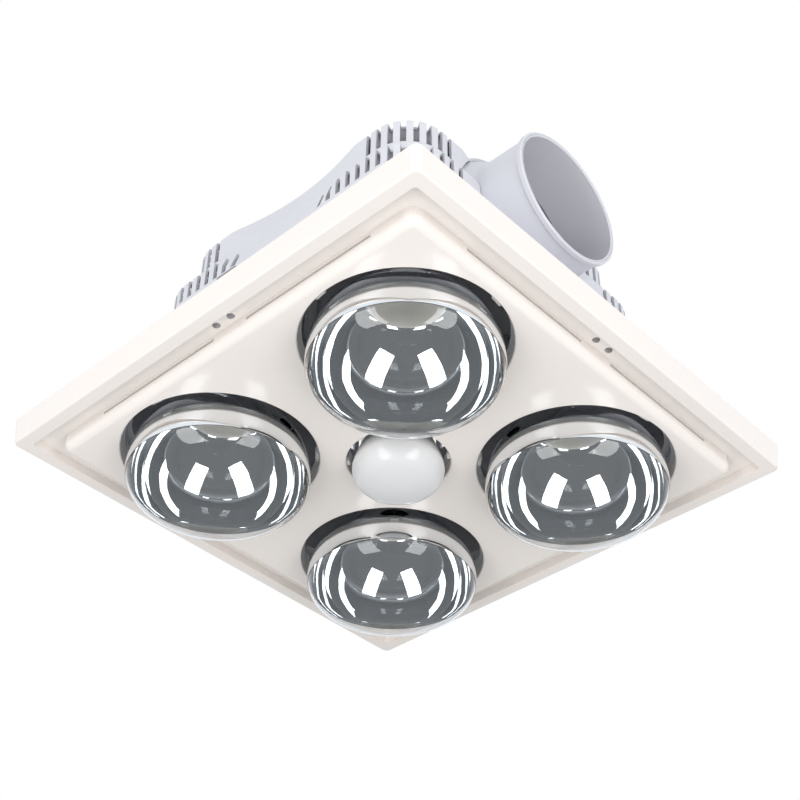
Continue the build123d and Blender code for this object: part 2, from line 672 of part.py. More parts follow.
def spot_bulb(shrink):
    edge = spot_r - shrink
    with BuildPart() as bulb:
        with BuildSketch(Plane.XZ):
            with BuildLine():
                ThreePointArc((0, spot_apex + shrink), (10.7, spot_apex + 0.73 + shrink),
                              (21.2 - 0.3 * shrink, spot_apex + 2.93 + shrink))
                ThreePointArc((21.2 - 0.3 * shrink, spot_apex + 2.93 + shrink),
                              (28.6 - 0.8 * shrink, -38.4 + 0.6 * shrink), (edge, spot_wide_z))
                ThreePointArc((edge, spot_wide_z), (edge - 0.21, spot_wide_z + 2.4),
                              (edge - 0.84, spot_wide_z + 4.8))
                ThreePointArc((edge - 0.84, spot_wide_z + 4.8), (edge - 5.4, -12.5), (edge - 11.8, 0))
                ThreePointArc((edge - 11.8, 0), (edge - 15.8, 9.5), (edge - 17.2, 20))
                Polyline((edge - 17.2, 20), (edge - 17.2, 25), (edge - 18.9, 29 - 2 * shrink),
                         (edge - 18.9, 33 - 5 * shrink), (0, 33 - 5 * shrink), (0, spot_apex + shrink))
            make_face()
        revolve(axis=Axis.Z)
    return bulb.part


# The brass cap, filled at the top by the insulator and ending in the contact tip.
def lamp_cap(low, high, tip):
    with BuildPart() as cap:
        with BuildSketch(Plane.XZ):
            with BuildLine():
                Polyline((cap_r - 0.6, low), (cap_r, low + 0.6), (cap_r, high - 1.5), (cap_r - 1.5, high),
                         (6.5, tip - 1.6), (4.6, tip), (0, tip), (0, high - 3), (cap_r - 1.6, high - 3),
                         (cap_r - 0.6, high - 5), (cap_r - 0.6, low))
            make_face()
        revolve(axis=Axis.Z)
    return cap.part


# The glass stem, the support wires and the coiled filament.
def filament_mount(seat, waist, level, spread):
    with BuildPart() as mount:
        with BuildSketch(Plane.XZ):
            with BuildLine():
                ThreePointArc((9.5, seat), (5.2, seat - 7), (3.6, seat - 16))
                Polyline((3.6, seat - 16), (3.6, waist), (0, waist), (0, seat), (9.5, seat))
            make_face()
        revolve(axis=Axis.Z)
        for sign in (-1, 1):
            with BuildLine():
                lead = Polyline((sign * 1.6, 0, waist + 3), (sign * 2.2, 0, waist - 4),
                                (sign * spread, 0, level))
            with BuildSketch(Plane(origin=(sign * 1.6, 0, waist + 3), z_dir=lead % 0)):
                Circle(0.6)
            sweep(path=lead, transition=Transition.ROUND)
        with BuildSketch(Plane.YZ.offset(-spread)):
            with Locations((0, level)):
                Circle(1.3)
                Circle(0.7, mode=Mode.SUBTRACT)
        extrude(amount=2 * spread)
    return mount.part


glass_t = 1.0
heat_glass = heat_bulb(0) - heat_bulb(glass_t)
spot_glass = spot_bulb(0) - spot_bulb(glass_t)
heat_cap = lamp_cap(cap_low, cap_high, cap_tip)
heat_mount = filament_mount(86.0, 50.0, 22.0, 9.0)

# A ceramic holder body, a rounded cup with a flat top for the strap.
bore_r = shell_in_r + shell_t + 2 * fit
holder_floor = 4.4
holder_screw = 8.0
contact_t = 0.55


def holder_body(low, high, outer):
    with BuildPart() as body:
        with BuildSketch(Plane.XZ):
            with BuildLine():
                Polyline((bore_r, low), (outer - 3.5, low), (outer - 2.6, low + 2), (outer - 2.6, high - 13),
                         (outer, high - 10), (outer, high), (0, high), (0, high - holder_floor),
                         (bore_r, high - holder_floor), (bore_r, low))
            make_face()
        revolve(axis=Axis.Z)
        with Locations((0, holder_screw, high), (0, -holder_screw, high)):
            Cylinder(thin_shank + bite, 6, mode=Mode.SUBTRACT)
        # side notches for the terminal screws
        with Locations((outer, 0, high - 5), (-outer, 0, high - 5)):
            Box(8, 9, 6, mode=Mode.SUBTRACT)
    return body.part


# The threaded shell and the centre contact inside a holder.
def holder_metal(low, high):
    with BuildPart() as metal:
        with BuildSketch(Plane.XY.offset(low + 2)):
            Circle(shell_in_r + shell_t)
            Circle(shell_in_r, mode=Mode.SUBTRACT)
        extrude(amount=high - 7 - low)
        with BuildSketch(Plane.XY.offset(high - holder_floor - contact_t)):
            SlotOverall(16, 6)
        extrude(amount=contact_t)
    return metal.part


heat_holder = holder_body(holder_low, holder_high, holder_r)
heat_shell = holder_metal(holder_low, holder_high)
metals = []
for name, (sx, sy) in corners.items():
    place = Location((sx * lamp_pitch, sy * lamp_pitch, 0), (0, 0, degrees(atan2(sy, sx))))
    save(place * heat_glass, "heat_lamp_glass_" + name)
    save(place * heat_cap, "heat_lamp_cap_" + name)
    save(place * heat_mount, "heat_lamp_filament_" + name)
    save(place * heat_holder, "lamp_holder_" + name)
    metals.append(place * heat_shell)
save(spot_glass, "spot_lamp_glass")
save(lamp_cap(spot_cap_low, spot_cap_high, spot_tip), "spot_lamp_cap")
save(filament_mount(28.0, 6.0, -8.0, 7.0), "spot_lamp_filament")
save(holder_body(spot_holder_low, spot_holder_high, spot_holder_r), "spot_holder")
metals.append(holder_metal(spot_holder_low, spot_holder_high))
save(Compound(children=metals), "holder_contacts")

# Steel straps that hang the four holders from the roof posts.
with BuildPart() as straps:
    strap_places = [Location((x, y, holder_high), (0, 0, degrees(atan2(y, x)) + 90)) for x, y in lamp_spots]
    with Locations(*strap_places):
        with Locations((0, 0, strap_t / 2)):
            Box(2 * holder_stud + 8, 12, strap_t)
    with Locations(*strap_places):
        with Locations(*[(x, 0, 0) for x in (holder_stud, -holder_stud, holder_screw, -holder_screw)]):
            Cylinder(thick_shank + pass_gap, 6, mode=Mode.SUBTRACT)
    fillet(straps.edges().filter_by(Axis.Z).filter_by(GeomType.LINE), 3)
save(straps.part, "holder_straps")

# The bracket that carries the centre holder below the fan.
bridge_low = spot_holder_high
foot_z = volute_low - strap_t
with BuildPart() as bridge:
    with BuildSketch(Plane(origin=(-7, 0, 0), x_dir=(0, 1, 0), z_dir=(1, 0, 0))):
        with BuildLine():
            Polyline((bridge_from - bridge_foot, foot_z), (bridge_from - bridge_foot, volute_low),
                     (bridge_from, volute_low), (bridge_from, bridge_low + strap_t),
                     (bridge_to, bridge_low + strap_t), (bridge_to, volute_low),
                     (bridge_to + bridge_foot, volute_low), (bridge_to + bridge_foot, foot_z),
                     (bridge_to + strap_t, foot_z), (bridge_to + strap_t, bridge_low),
                     (bridge_from - strap_t, bridge_low), (bridge_from - strap_t, foot_z),
                     (bridge_from - bridge_foot, foot_z))
        make_face()
    extrude(amount=14)
    with Locations(*[(0, sign * holder_screw, bridge_low) for sign in (-1, 1)],
                   *[(0, y, volute_low) for y in bridge_screw_ys]):
        Cylinder(thick_shank + pass_gap, 6, mode=Mode.SUBTRACT)
save(bridge.part, "spot_bridge")


# Round-headed screws; each entry is the seat under the head, pointing from head to tip.
def screws(places, shank, length, head, head_t, label):
    with BuildPart() as group:
        with Locations(*[place * Location((0, 0, length / 2)) for place in places]):
            Cylinder(shank, length)
        with Locations(*[place * Location((0, 0, -head_t / 2)) for place in places]):
            Cylinder(head, head_t)
    save(group.part, label)


down = (180, 0, 0)
signs = (-1, 1)
screws([spot * Location((0, 0, groove_z + 1.1)) for spot in fascia_screw_spots],
       thin_shank, 11.0, 2.3, 1.5, "fascia_screws")
screws([side * Location((pillar_reach, 0, collar_top + tray_t), down) for side in sides],
       thick_shank - bite, 5.0, 3.2, 1.6, "tray_screws")
screws([Location((x, y, volute_high)) for x, y in volute_feet], thick_shank, 9.0, 3.2, 1.6, "fan_screws")
screws([Location((0, y, foot_z)) for y in bridge_screw_ys], thin_shank, 5.0, 2.6, 1.6, "bridge_screws")
screws([place * Location((0, 0, 1.5), down) for place in spigot_screw_spots],
       thin_shank, 5.5, 2.9, 1.4, "spigot_screws")
screws([place * Location((sign * holder_stud, 0, 0)) for place in strap_places for sign in signs],
       thick_shank, 9.0, 2.4, 1.6, "strap_screws")
holder_seats = strap_places + [Location((0, 0, bridge_low), (0, 0, 90))]
screws([seat * Location((sign * holder_screw, 0, strap_t), down) for seat in holder_seats for sign in signs],
       thin_shank, 4.0, 2.6, 1.6, "holder_screws")

# The terminal box on the roof, far from the duct.
box_z = 24.0
with BuildPart() as terminal_cover:
    with Locations((terminal_x, terminal_y, roof_z + box_z / 2)):
        Box(terminal_long, terminal_wide, box_z)
    fillet(terminal_cover.edges().filter_by(Axis.Z), 4)
    fillet(terminal_cover.faces().sort_by(Axis.Z)[-1].edges(), 2)
    with Locations((terminal_x, terminal_y, roof_z + box_z / 2 - terminal_wall)):
        Box(terminal_long - 2 * terminal_wall, terminal_wide - 2 * terminal_wall, box_z, mode=Mode.SUBTRACT)
    with Locations(*[(x, y, roof_z + box_z / 2) for x, y in cover_posts]):
        Cylinder(3.2, box_z - 1)
    with Locations(*[(x, y, roof_z + box_z / 2) for x, y in cover_posts]):
        Cylinder(cover_shank + pass_gap + 0.1, 2 * box_z, mode=Mode.SUBTRACT)
    with Locations(Location((terminal_x - terminal_long / 2, cable_y, roof_z + 9), (0, 90, 0))):
        Cylinder(cable_r, 12, mode=Mode.SUBTRACT)
save(terminal_cover.part, "terminal_cover")
screws([Location((x, y, roof_z + box_z), down) for x, y in cover_posts],
       cover_shank, box_z + 5.0, 3.0, 1.6, "cover_screws")
ways = 4
with BuildPart() as terminal_block:
    with Locations((terminal_x, 91.5, roof_z + 5.5)):
        Box(36, 14, 11)
        with GridLocations(9, 0, ways, 1):
            Cylinder(2.1, 14, mode=Mode.SUBTRACT)
            Cylinder(1.6, 20, rotation=(90, 0, 0), mode=Mode.SUBTRACT)
        with GridLocations(9, 0, ways - 1, 1):
            with Locations((0, 0, 4.5)):
                Box(1.4, 14, 4, mode=Mode.SUBTRACT)
save(terminal_block.part, "terminal_block")
clamp_x = -95.0
clamp_post = 5.7
with BuildPart() as cable_clamp:
    with Locations((clamp_x, cable_y, roof_z + 1.6)):
        Box(7, 14.4, 3.2)
    with Locations((clamp_x, cable_y, roof_z + 13.2)):
        Box(7, 14.4, 2.4)
    with Locations(*[(clamp_x, cable_y + sign * clamp_post, roof_z + 8) for sign in signs]):
        Cylinder(1.5, 12.8)
save(cable_clamp.part, "cable_clamp")

# Internal leads, clipped under the roof and run round the inside of the housing.
lead_r = 1.3
lead_z = 149.4
top_z = post_low + 0.1
lamp = lamp_pitch
routes = (
    ((-70.0, 79.0), ((-76, 84, lead_z), (-lamp, lamp, lead_z - 6), (-lamp, lamp, top_z))),
    ((-73.0, 77.5), ((-100, 60, lead_z), (-97, -46, lead_z), (-90, -70, lead_z),
                     (-lamp, -lamp, lead_z - 6), (-lamp, -lamp, top_z))),
    ((-67.0, 77.5), ((-56, 98, lead_z), (60, 98, lead_z), (80, 88, lead_z), (lamp, lamp, lead_z - 6),
                     (lamp, lamp, top_z))),
    ((-73.0, 74.0), ((-92, 56, lead_z), (-90, -46, lead_z), (-52, -92, lead_z), (60, -98, lead_z),
                     (80, -88, lead_z), (lamp, -lamp, lead_z - 6), (lamp, -lamp, top_z))),
    ((-67.0, 74.0), ((-30, 56, lead_z), (20, 50, lead_z - 2), (29, 42, 146.5), (29, 27.4, 146.5))),
    ((-70.0, 72.6), ((-86, 30, lead_z), (-86.5, 12, lead_z), (-86.5, 2, 140), (-86.5, 2, 76), (-30, 2, 72),
                     (-10, 0, 70), (-10, 0, bridge_low + 0.1))),
)
with BuildPart() as loom:
    for (x, y), rest in routes:
        with BuildLine() as run:
            FilletPolyline((x, y, roof_z + 6), (x, y, lead_z), *rest, radius=2.6)
        with BuildSketch(Plane(origin=(x, y, roof_z + 6), z_dir=(0, 0, -1))):
            Circle(lead_r)
        sweep(path=run.wire())
save(loom.part, "wiring")
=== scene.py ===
import bmesh
import bpy
import numpy as np
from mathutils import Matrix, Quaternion, Vector


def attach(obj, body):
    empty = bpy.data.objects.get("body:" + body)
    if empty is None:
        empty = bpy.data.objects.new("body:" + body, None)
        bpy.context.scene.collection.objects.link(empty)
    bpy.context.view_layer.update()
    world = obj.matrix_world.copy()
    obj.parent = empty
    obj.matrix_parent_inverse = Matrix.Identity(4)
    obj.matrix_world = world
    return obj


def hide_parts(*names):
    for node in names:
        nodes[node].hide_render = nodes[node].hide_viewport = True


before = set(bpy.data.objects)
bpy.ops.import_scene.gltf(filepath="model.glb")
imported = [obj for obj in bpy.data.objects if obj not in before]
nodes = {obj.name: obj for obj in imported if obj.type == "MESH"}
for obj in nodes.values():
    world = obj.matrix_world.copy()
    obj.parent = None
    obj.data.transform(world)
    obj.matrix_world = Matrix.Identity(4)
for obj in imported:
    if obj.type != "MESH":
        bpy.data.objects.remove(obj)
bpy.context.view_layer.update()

# The view. The unit hangs in clear air and is seen from below, past its near corner. Two tall soft
# lamps stand left and right of the camera, and the room's own light fills the rest.
view_place = Vector((0.56755, -0.60188, -0.65158))
view_direction = Vector((-0.5289, 0.5615, 0.6363))
view_roll = 0.0145
lens_mm = 68.84
view_turn = view_direction.to_track_quat("-Z", "Y") @ Quaternion((0, 0, 1), view_roll)
view_data = bpy.data.cameras.new("view")
view_data.sensor_width = 36.0
view_data.lens = lens_mm
view_data.clip_start = 0.05
view_camera = bpy.data.objects.new("view", view_data)
view_camera.location = view_place
view_camera.rotation_mode = "QUATERNION"
view_camera.rotation_quaternion = view_turn
bpy.context.scene.collection.objects.link(view_camera)
bpy.context.scene.camera = view_camera
bpy.context.scene.view_settings.view_transform = "Standard"


def soft_lamp(name, right, up, back, width, height, power):
    """A rectangular lamp set off from the camera by right, up and back, aimed at the unit."""
    data = bpy.data.lights.new(name, "AREA")
    data.shape = "RECTANGLE"
    data.size = width
    data.size_y = height
    data.energy = power
    lamp = bpy.data.objects.new(name, data)
    lamp.location = view_place + view_turn @ Vector((right, up, back))
    lamp.rotation_mode = "QUATERNION"
    lamp.rotation_quaternion = (-lamp.location).to_track_quat("-Z", "Y")
    lamp.visible_camera = False
    bpy.context.scene.collection.objects.link(lamp)


lamp_aside, lamp_above, lamp_behind = 0.62, 0.1, -0.1
lamp_width, lamp_height, lamp_watts = 0.42, 1.3, 6.3
for lamp_label, hand in (("left_lamp", -1), ("right_lamp", 1)):
    soft_lamp(lamp_label, hand * lamp_aside, lamp_above, lamp_behind, lamp_width, lamp_height, lamp_watts)


def shader_node(tree, kind, inputs=None, **settings):
    """A node with its settings made, and each input wired to a socket or given a value."""
    made = tree.nodes.new(kind)
    for key, value in settings.items():
        setattr(made, key, value)
    for key, value in (inputs or {}).items():
        if isinstance(value, bpy.types.NodeSocket):
            tree.links.new(value, made.inputs[key])
        else:
            made.inputs[key].default_value = value
    return made


# The surroundings. The camera sees plain white. Plastics are lit by an even pale fill, and mirrors and
# glass see a room that darkens towards the floor, which gives the silvered bowls their grey.
world = bpy.data.worlds.new("studio")
world.use_nodes = True
bpy.context.scene.world = world
air = world.node_tree
air.nodes.clear()
path = shader_node(air, "ShaderNodeLightPath")
direction = shader_node(air, "ShaderNodeTexCoord")
parts = shader_node(air, "ShaderNodeSeparateXYZ", {"Vector": direction.outputs["Generated"]})
level = shader_node(air, "ShaderNodeMapRange", {"Value": parts.outputs["Z"], "From Min": -0.35,
                                               "From Max": 0.15, "To Min": 0.2, "To Max": 1.0})
fill = shader_node(air, "ShaderNodeBackground", {"Color": (0.97, 0.98, 1.0, 1.0), "Strength": 0.78})
seen = shader_node(air, "ShaderNodeBackground", {"Color": (1.0, 1.0, 1.0, 1.0), "Strength": 1.0})
mirrored = shader_node(air, "ShaderNodeBackground", {"Color": (0.93, 0.96, 1.0, 1.0),
                                                     "Strength": level.outputs["Result"]})
bent = shader_node(air, "ShaderNodeMath", {0: path.outputs["Is Glossy Ray"],
                                           1: path.outputs["Is Transmission Ray"]}, operation="MAXIMUM")
shown = shader_node(air, "ShaderNodeMixShader", {0: bent.outputs[0], 1: fill.outputs[0],
                                                 2: mirrored.outputs[0]})
both = shader_node(air, "ShaderNodeMixShader", {0: path.outputs["Is Camera Ray"], 1: shown.outputs[0],
                                                2: seen.outputs[0]})
shader_node(air, "ShaderNodeOutputWorld", {"Surface": both.outputs[0]})

# The floor of the room, well below the unit. It only lights the underside, and mirrors and glass don't
# see it.
floor_z = -1.6
floor_half = 4
floor_corners = [(-floor_half, -floor_half, floor_z), (floor_half, -floor_half, floor_z),
                 (floor_half, floor_half, floor_z), (-floor_half, floor_half, floor_z)]
floor_data = bpy.data.meshes.new("floor")
floor_data.from_pydata(floor_corners, [], [(0, 1, 2, 3)])
floor = bpy.data.objects.new("floor", floor_data)
bpy.context.scene.collection.objects.link(floor)
floor.visible_glossy = False
floor.visible_transmission = False
floor_paint = bpy.data.materials.new("floor_paint")
floor_paint.use_nodes = True
floor_paint.node_tree.nodes["Principled BSDF"].inputs["Base Color"].default_value = (0.8, 0.8, 0.79, 1)
floor_paint.node_tree.nodes["Principled BSDF"].inputs["Roughness"].default_value = 0.8
floor_data.materials.append(floor_paint)

# The finishes of moulded plastic share two effects: the faint ripple and drift of tone that a mould
# leaves, and the dust that settles on what faces up.


def effect(name, inputs, outputs):
    """An empty shader group with named float or vector inputs and float outputs."""
    tree = bpy.data.node_groups.new(name, "ShaderNodeTree")
    for label, kind in inputs.items():
        tree.interface.new_socket(label, in_out="INPUT", socket_type=kind)
    for label in outputs:
        tree.interface.new_socket(label, in_out="OUTPUT", socket_type="NodeSocketFloat")
    return tree, tree.nodes.new("NodeGroupInput"), tree.nodes.new("NodeGroupOutput")


FLOAT, VECTOR = "NodeSocketFloat", "NodeSocketVector"
moulded, given, out = effect("moulded_skin", {"Vector": VECTOR, "Grain": FLOAT}, ("Height", "Tone"))
fine = shader_node(moulded, "ShaderNodeTexNoise", {"Vector": given.outputs["Vector"],
                                                   "Scale": given.outputs["Grain"], "Detail": 3.0})
wide = shader_node(moulded, "ShaderNodeTexNoise", {"Vector": given.outputs["Vector"], "Scale": 9.0,
                                                   "Detail": 2.0})
moulded.links.new(fine.outputs["Fac"], out.inputs["Height"])
moulded.links.new(wide.outputs["Fac"], out.inputs["Tone"])

dusting, given, out = effect("settled_dust", {"Vector": VECTOR, "Normal": VECTOR}, ("Mask",))
facing = shader_node(dusting, "ShaderNodeSeparateXYZ", {"Vector": given.outputs["Normal"]})
up = shader_node(dusting, "ShaderNodeMapRange", {"Value": facing.outputs["Z"], "From Min": 0.3,
                                                 "From Max": 1.0})
specks = shader_node(dusting, "ShaderNodeTexNoise", {"Vector": given.outputs["Vector"], "Scale": 60.0,
                                                     "Detail": 6.0})
patchy = shader_node(dusting, "ShaderNodeMath", {0: up.outputs["Result"], 1: specks.outputs["Fac"]},
                     operation="MULTIPLY")
dusting.links.new(patchy.outputs[0], out.inputs["Mask"])


def finish(name, values):
    """A material with one Principled shader holding values; gives the material, tree and shader."""
    made = bpy.data.materials.new(name)
    made.use_nodes = True
    tree = made.node_tree
    shader = tree.nodes["Principled BSDF"]
    for key, value in values.items():
        shader.inputs[key].default_value = value
    return made, tree, shader


def two_tones(tree, shader, low, high, mask):
    """Base Color runs from low to high as mask goes from 0 to 1."""
    mix = shader_node(tree, "ShaderNodeMix", {"Factor": mask}, data_type="RGBA")
    mix.inputs["A"].default_value = (*low, 1)
    mix.inputs["B"].default_value = (*high, 1)
    tree.links.new(mix.outputs["Result"], shader.inputs["Base Color"])


def plastic(name, low, high, rough, grain, ripple, dust=0.0, **values):
    """Moulded plastic: two close tones, a fine ripple, and dust on what faces up."""
    made, tree, shader = finish(name, {"Roughness": rough, **values})
    place = shader_node(tree, "ShaderNodeTexCoord")
    skin = shader_node(tree, "ShaderNodeGroup", node_tree=moulded)
    tree.links.new(place.outputs["Object"], skin.inputs["Vector"])
    skin.inputs["Grain"].default_value = grain
    two_tones(tree, shader, low, high, skin.outputs["Tone"])
    if dust:
        film = shader_node(tree, "ShaderNodeGroup", node_tree=dusting)
        geometry = shader_node(tree, "ShaderNodeNewGeometry")
        tree.links.new(place.outputs["Object"], film.inputs["Vector"])
        tree.links.new(geometry.outputs["Normal"], film.inputs["Normal"])
        gloss = shader_node(tree, "ShaderNodeMapRange", {"Value": film.outputs["Mask"], "To Min": rough,
                                                         "To Max": rough + dust})
        tree.links.new(gloss.outputs["Result"], shader.inputs["Roughness"])
    bump = shader_node(tree, "ShaderNodeBump", {"Height": skin.outputs["Height"], "Strength": ripple,
                                                "Distance": 0.0004})
    tree.links.new(bump.outputs["Normal"], shader.inputs["Normal"])
    return made


def dress(material, *names):
    """These CAD nodes keep their shape and take this finish."""
    for name in names:
        nodes[name].data.materials.clear()
        nodes[name].data.materials.append(material)


# The fascia. One glossy warm-white moulding: a raised frame, a sunk groove and a raised panel with
# five round openings, injection moulded and polished in the tool.
dress(plastic("fascia_enamel", (0.84, 0.79, 0.75), (0.87, 0.82, 0.78), 0.24, 900.0, 0.05,
              **{"Coat Weight": 0.2, "Coat Roughness": 0.08}), "fascia")

# The housing, the duct spigot and the terminal cover. White plastic with a cool cast, satin from the
# mould, that stays above the ceiling and gathers dust on top.
housing_white = plastic("housing_plastic", (0.66, 0.665, 0.71), (0.70, 0.705, 0.75), 0.34, 700.0, 0.08,
                        dust=0.3)
dress(housing_white, "housing", "duct_spigot", "terminal_cover")

# The draught shutter. Two thin grey leaves swing on one steel pin across the duct.
leaf_grey = plastic("shutter_plastic", (0.10, 0.10, 0.11), (0.13, 0.13, 0.14), 0.45, 500.0, 0.12)
dress(leaf_grey, "shutter_leaf_a", "shutter_leaf_b")

# The fan. A pale volute and cover with a dark squirrel-cage wheel inside, all moulded.
volute_white = plastic("volute_plastic", (0.55, 0.56, 0.58), (0.60, 0.61, 0.63), 0.45, 500.0, 0.1)
wheel_black = plastic("wheel_plastic", (0.03, 0.03, 0.033), (0.045, 0.045, 0.05), 0.4, 500.0, 0.1)
dress(volute_white, "fan_volute", "volute_cover")
dress(wheel_black, "fan_wheel")

# Metal parts share a drawn or rolled grain: noise stretched along one axis, which feeds both the fine
# relief and the drift of tone.
drawn, given, out = effect("drawn_lines", {"Vector": VECTOR, "Stretch": VECTOR}, ("Height", "Tone"))
along = shader_node(drawn, "ShaderNodeMapping", {"Vector": given.outputs["Vector"],
                                                "Scale": given.outputs["Stretch"]})
lines = shader_node(drawn, "ShaderNodeTexNoise", {"Vector": along.outputs["Vector"], "Scale": 1.0,
                                                  "Detail": 5.0})
drawn.links.new(lines.outputs["Fac"], out.inputs["Height"])
drawn.links.new(lines.outputs["Fac"], out.inputs["Tone"])


def metal(name, low, high, rough, stretch, ripple=0.05, **values):
    """Bare or plated metal with a drawn grain, two close tones."""
    made, tree, shader = finish(name, {"Roughness": rough, "Metallic": 1.0, **values})
    place = shader_node(tree, "ShaderNodeTexCoord")
    grain = shader_node(tree, "ShaderNodeGroup", node_tree=drawn)
    tree.links.new(place.outputs["Object"], grain.inputs["Vector"])
    grain.inputs["Stretch"].default_value = stretch
    two_tones(tree, shader, low, high, grain.outputs["Tone"])
    bump = shader_node(tree, "ShaderNodeBump", {"Height": grain.outputs["Height"], "Strength": ripple,
                                                "Distance": 0.0002})
    tree.links.new(bump.outputs["Normal"], shader.inputs["Normal"])
    return made


# The reflector tray. One pressing of bright rolled aluminium, screwed behind the panel, that shows in
# the gaps round the lamps.
dress(metal("tray_metal", (0.76, 0.78, 0.77), (0.86, 0.88, 0.87), 0.3, (20.0, 600.0, 600.0)),
      "reflector_tray")

# Plated steel. Folded straps and brackets hang the holders and the motor, turned steel makes the rotor
# and the shutter pin, and small round-headed screws hold the rest together.
plated = metal("plated_steel", (0.55, 0.56, 0.58), (0.68, 0.69, 0.71), 0.3, (400.0, 60.0, 400.0))
dress(plated, "holder_straps", "spot_bridge", "motor_bracket_lower", "motor_bracket_upper",
      "shutter_pin", "motor_rotor", "fascia_screws", "tray_screws", "fan_screws", "bridge_screws",
      "spigot_screws", "strap_screws", "holder_screws", "cover_screws", "motor_screws")

# The motor. A stack of stamped laminations carries one coil of lacquered copper on a moulded bobbin.
dress(metal("lamination_steel", (0.32, 0.33, 0.35), (0.42, 0.43, 0.45), 0.4, (40.0, 40.0, 2600.0), 0.3),
      "motor_stator")
dress(plastic("coil_bobbin", (0.28, 0.10, 0.05), (0.36, 0.14, 0.07), 0.35, 900.0, 0.2), "motor_coil")

# The lamp holders. Glazed ceramic cups with a threaded brass shell and a sprung centre contact, hung from
# the straps and the bridge.
dress(metal("contact_brass", (0.72, 0.52, 0.24), (0.80, 0.60, 0.30), 0.28, (300.0, 300.0, 60.0)),
      "holder_contacts")
dress(plastic("ceramic", (0.82, 0.80, 0.76), (0.86, 0.84, 0.80), 0.18, 300.0, 0.1),
      "lamp_holder_near", "lamp_holder_left", "lamp_holder_right", "lamp_holder_far", "spot_holder")

# The wiring. A moulded terminal block and cable clamp on the roof, and heat-proof sleeved leads that run
# from it to the holders and the motor.
dress(plastic("block_plastic", (0.70, 0.70, 0.68), (0.76, 0.76, 0.74), 0.4, 500.0, 0.1),
      "terminal_block", "cable_clamp")
dress(plastic("lead_sleeve", (0.76, 0.74, 0.70), (0.80, 0.78, 0.74), 0.5, 1500.0, 0.3), "wiring")

# The heat lamps. Blown hard-glass bulbs, clear at the domed front and silvered inside from just above
# the front's edge back to the neck, which is painted pale beige: a painted reflection of the bright
# room that the bowl shows there. The wall is modelled as a mirror from both sides, and its curve is
# fitted to the reflections in the photograph.
MM = 0.001
lamp_pitch = 85.3
lamp_names = {"near": (1, -1), "left": (-1, -1), "right": (1, 1), "far": (-1, 1)}
silver_edge = -45.0
glass_wall = 1.0


def arc(start, through, end, count):
    """Points on the circle through three points, evenly spaced by angle, the last left off."""
    (ax, ay), (bx, by), (cx, cy) = start, through, end
    d = 2 * (ax * (by - cy) + bx * (cy - ay) + cx * (ay - by))
    a2, b2, c2 = ax * ax + ay * ay, bx * bx + by * by, cx * cx + cy * cy
    ux = (a2 * (by - cy) + b2 * (cy - ay) + c2 * (ay - by)) / d
    uy = (a2 * (cx - bx) + b2 * (ax - cx) + c2 * (bx - ax)) / d
    angles = np.unwrap(np.arctan2([ay - uy, by - uy, cy - uy], [ax - ux, bx - ux, cx - ux]))
    turn = np.linspace(angles[0], angles[2], count, endpoint=False)
    radius = np.hypot(ax - ux, ay - uy)
    return np.stack([ux + radius * np.cos(turn), uy + radius * np.sin(turn)], 1)


def straight_run(start, end, count):
    """Points on the line from start to end, the last left off."""
    return np.linspace(start, end, count, endpoint=False)


def grid_piece(name, grids, materials):
    """Closed surfaces joined in one piece, each a grid of points in mm with its finish numbers by row.
    Rows run along a profile or path and columns go round it and wrap; doubled points are merged."""
    places, faces, finishes, start = [], [], [], 0
    for xyz, pick in grids:
        rows, columns = xyz.shape[:2]
        corner = start + np.arange(rows * columns).reshape(rows, columns)
        beside = np.roll(corner, -1, axis=1)
        faces.append(np.stack([corner[:-1], beside[:-1], beside[1:], corner[1:]], -1).reshape(-1, 4))
        finishes.append(np.repeat(np.broadcast_to(pick, rows - 1), columns))
        places.append(xyz.reshape(-1, 3))
        start += rows * columns
    data = bpy.data.meshes.new(name)
    data.from_pydata((np.concatenate(places) * MM).tolist(), [], np.concatenate(faces).tolist())
    data.polygons.foreach_set("material_index", np.concatenate(finishes).astype(np.int32))
    cage = bmesh.new()
    cage.from_mesh(data)
    bmesh.ops.remove_doubles(cage, verts=cage.verts, dist=1e-7)
    bmesh.ops.recalc_face_normals(cage, faces=cage.faces)
    cage.to_mesh(data)
    cage.free()
    data.polygons.foreach_set("use_smooth", np.ones(len(data.polygons), bool))
    for material in materials:
        data.materials.append(material)
    piece = bpy.data.objects.new(name, data)
    bpy.context.scene.collection.objects.link(piece)
    return piece


def lathe(profile, centre, columns):
    """The profile's (radius, height) points turned about the upright line through centre."""
    turn = np.linspace(0, 2 * np.pi, columns, endpoint=False)
    radius, height = profile[:, :1], profile[:, 1:]
    return np.stack(np.broadcast_arrays(centre[0] + radius * np.cos(turn),
                                        centre[1] + radius * np.sin(turn), height), -1)


def hollow(outside, wall):
    """An outer profile followed by the same line moved inwards by the wall, back to the axis."""
    step = np.gradient(outside, axis=0)
    normal = np.stack([-step[:, 1], step[:, 0]], 1) / np.hypot(*step.T)[:, None]
    inside = outside + wall * normal
    inside[:, 0] = np.maximum(inside[:, 0], 0)
    inside[0, 0] = 0
    return np.concatenate([outside, inside[::-1]])


